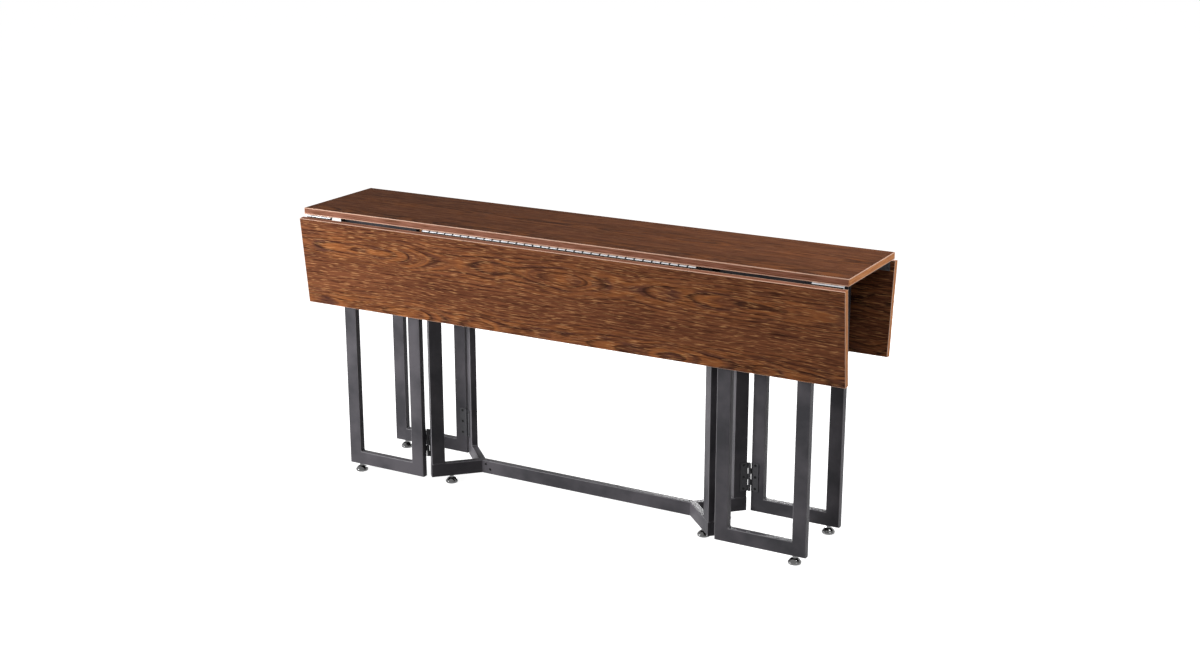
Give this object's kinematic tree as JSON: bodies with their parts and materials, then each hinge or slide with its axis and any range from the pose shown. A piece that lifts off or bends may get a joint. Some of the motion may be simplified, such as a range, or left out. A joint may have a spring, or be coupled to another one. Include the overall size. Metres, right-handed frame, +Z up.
{
  "type": "folding console table",
  "caption": "Console table with a narrow board on a steel frame, a drop leaf hinged along each long side and folding gates that swing out to carry the raised leaves.",
  "frame": {"origin": "on the floor under the middle of the table, at the foot of the bounding box", "axes": "+X along the table towards its right end, +Y towards the rear, +Z up"},
  "size_m": [1.6, 0.3524, 0.762],
  "materials": {
    "dark_veneer": "satin, open pored, brown",
    "veneer": "satin, open pored, warm brown",
    "edging": "satin light brown",
    "powder_coat": "fine textured satin powder coat",
    "black_plate": "satin black",
    "black_screw": "black",
    "zinc_plate": "zinc plated",
    "zinc_screw": "zinc plated",
    "pin_steel": "bright drawn wire",
    "glide": "black gloss"
  },
  "bodies": {
    "frame": {"top_panel": "dark_veneer", "top_edging": "edging", "stretcher": "powder_coat", "stretcher_tongues": "powder_coat", "stretcher_bolts": "black_screw", "left_lower_braces": "powder_coat", "right_lower_braces": "powder_coat", "left_upper_braces": "powder_coat", "right_upper_braces": "powder_coat", "brace_end_plates": "powder_coat", "board_screws": "zinc_screw", "left_front_post": "powder_coat", "left_rear_post": "powder_coat", "right_front_post": "powder_coat", "right_rear_post": "powder_coat", "front_piano_top_plate": "zinc_plate", "rear_piano_top_plate": "zinc_plate", "front_end_top_plates": "zinc_plate", "rear_end_top_plates": "zinc_plate", "leaf_hinge_pins": "pin_steel", "top_hinge_screws": "zinc_screw", "gate_hinge_post_plates": "black_plate", "gate_hinge_pins": "pin_steel", "gate_hinge_post_screws": "black_screw"},
    "front_leaf": {"front_leaf": "veneer", "front_leaf_edging": "edging", "front_piano_leaf_plate": "zinc_plate", "front_end_leaf_plates": "zinc_plate", "front_leaf_screws": "zinc_screw"},
    "rear_leaf": {"rear_leaf": "veneer", "rear_leaf_edging": "edging", "rear_piano_leaf_plate": "zinc_plate", "rear_end_leaf_plates": "zinc_plate", "rear_leaf_screws": "zinc_screw"},
    "left_front_gate": {"left_front_gate_stiles": "powder_coat", "left_front_gate_rails": "powder_coat", "left_front_gate_plates": "black_plate", "left_front_gate_screws": "black_screw"},
    "left_rear_gate": {"left_rear_gate_stiles": "powder_coat", "left_rear_gate_rails": "powder_coat", "left_rear_gate_plates": "black_plate", "left_rear_gate_screws": "black_screw"},
    "right_front_gate": {"right_front_gate_stiles": "powder_coat", "right_front_gate_rails": "powder_coat", "right_front_gate_plates": "black_plate", "right_front_gate_screws": "black_screw"},
    "right_rear_gate": {"right_rear_gate_stiles": "powder_coat", "right_rear_gate_rails": "powder_coat", "right_rear_gate_plates": "black_plate", "right_rear_gate_screws": "black_screw"},
    "left_front_foot": {"left_front_foot": "glide"},
    "left_front_gate_foot": {"left_front_gate_foot": "glide"},
    "left_rear_foot": {"left_rear_foot": "glide"},
    "left_rear_gate_foot": {"left_rear_gate_foot": "glide"},
    "right_front_foot": {"right_front_foot": "glide"},
    "right_front_gate_foot": {"right_front_gate_foot": "glide"},
    "right_rear_foot": {"right_rear_foot": "glide"},
    "right_rear_gate_foot": {"right_rear_gate_foot": "glide"}
  },
  "joints": [
    {"name": "front_leaf_fold", "type": "hinge", "parent": "frame", "child": "front_leaf", "pos_m": [0, -0.154, 0.73945], "axis": [-1, 0, 0], "range_deg": [-2, 96.2]},
    {"name": "rear_leaf_fold", "type": "hinge", "parent": "frame", "child": "rear_leaf", "pos_m": [0, 0.154, 0.73945], "axis": [1, 0, 0], "range_deg": [-2, 96.2]},
    {"name": "left_front_gate_swing", "type": "hinge", "parent": "frame", "child": "left_front_gate", "pos_m": [-0.44699, -0.09825, 0.38225], "axis": [0, 0, 1], "range_deg": [-22, 2]},
    {"name": "left_rear_gate_swing", "type": "hinge", "parent": "frame", "child": "left_rear_gate", "pos_m": [-0.44699, 0.09825, 0.38225], "axis": [0, 0, -1], "range_deg": [-22, 2]},
    {"name": "right_front_gate_swing", "type": "hinge", "parent": "frame", "child": "right_front_gate", "pos_m": [0.44699, -0.09825, 0.38225], "axis": [0, 0, -1], "range_deg": [-22, 2]},
    {"name": "right_rear_gate_swing", "type": "hinge", "parent": "frame", "child": "right_rear_gate", "pos_m": [0.44699, 0.09825, 0.38225], "axis": [0, 0, 1], "range_deg": [-22, 2]},
    {"name": "left_front_foot_screw", "type": "slide", "parent": "frame", "child": "left_front_foot", "axis": [0, 0, -1], "range_m": [0, 0.008]},
    {"name": "left_front_gate_foot_screw", "type": "slide", "parent": "left_front_gate", "child": "left_front_gate_foot", "axis": [0, 0, -1], "range_m": [0, 0.008]},
    {"name": "left_rear_foot_screw", "type": "slide", "parent": "frame", "child": "left_rear_foot", "axis": [0, 0, -1], "range_m": [0, 0.008]},
    {"name": "left_rear_gate_foot_screw", "type": "slide", "parent": "left_rear_gate", "child": "left_rear_gate_foot", "axis": [0, 0, -1], "range_m": [0, 0.008]},
    {"name": "right_front_foot_screw", "type": "slide", "parent": "frame", "child": "right_front_foot", "axis": [0, 0, -1], "range_m": [0, 0.008]},
    {"name": "right_front_gate_foot_screw", "type": "slide", "parent": "right_front_gate", "child": "right_front_gate_foot", "axis": [0, 0, -1], "range_m": [0, 0.008]},
    {"name": "right_rear_foot_screw", "type": "slide", "parent": "frame", "child": "right_rear_foot", "axis": [0, 0, -1], "range_m": [0, 0.008]},
    {"name": "right_rear_gate_foot_screw", "type": "slide", "parent": "right_rear_gate", "child": "right_rear_gate_foot", "axis": [0, 0, -1], "range_m": [0, 0.008]}
  ]
}
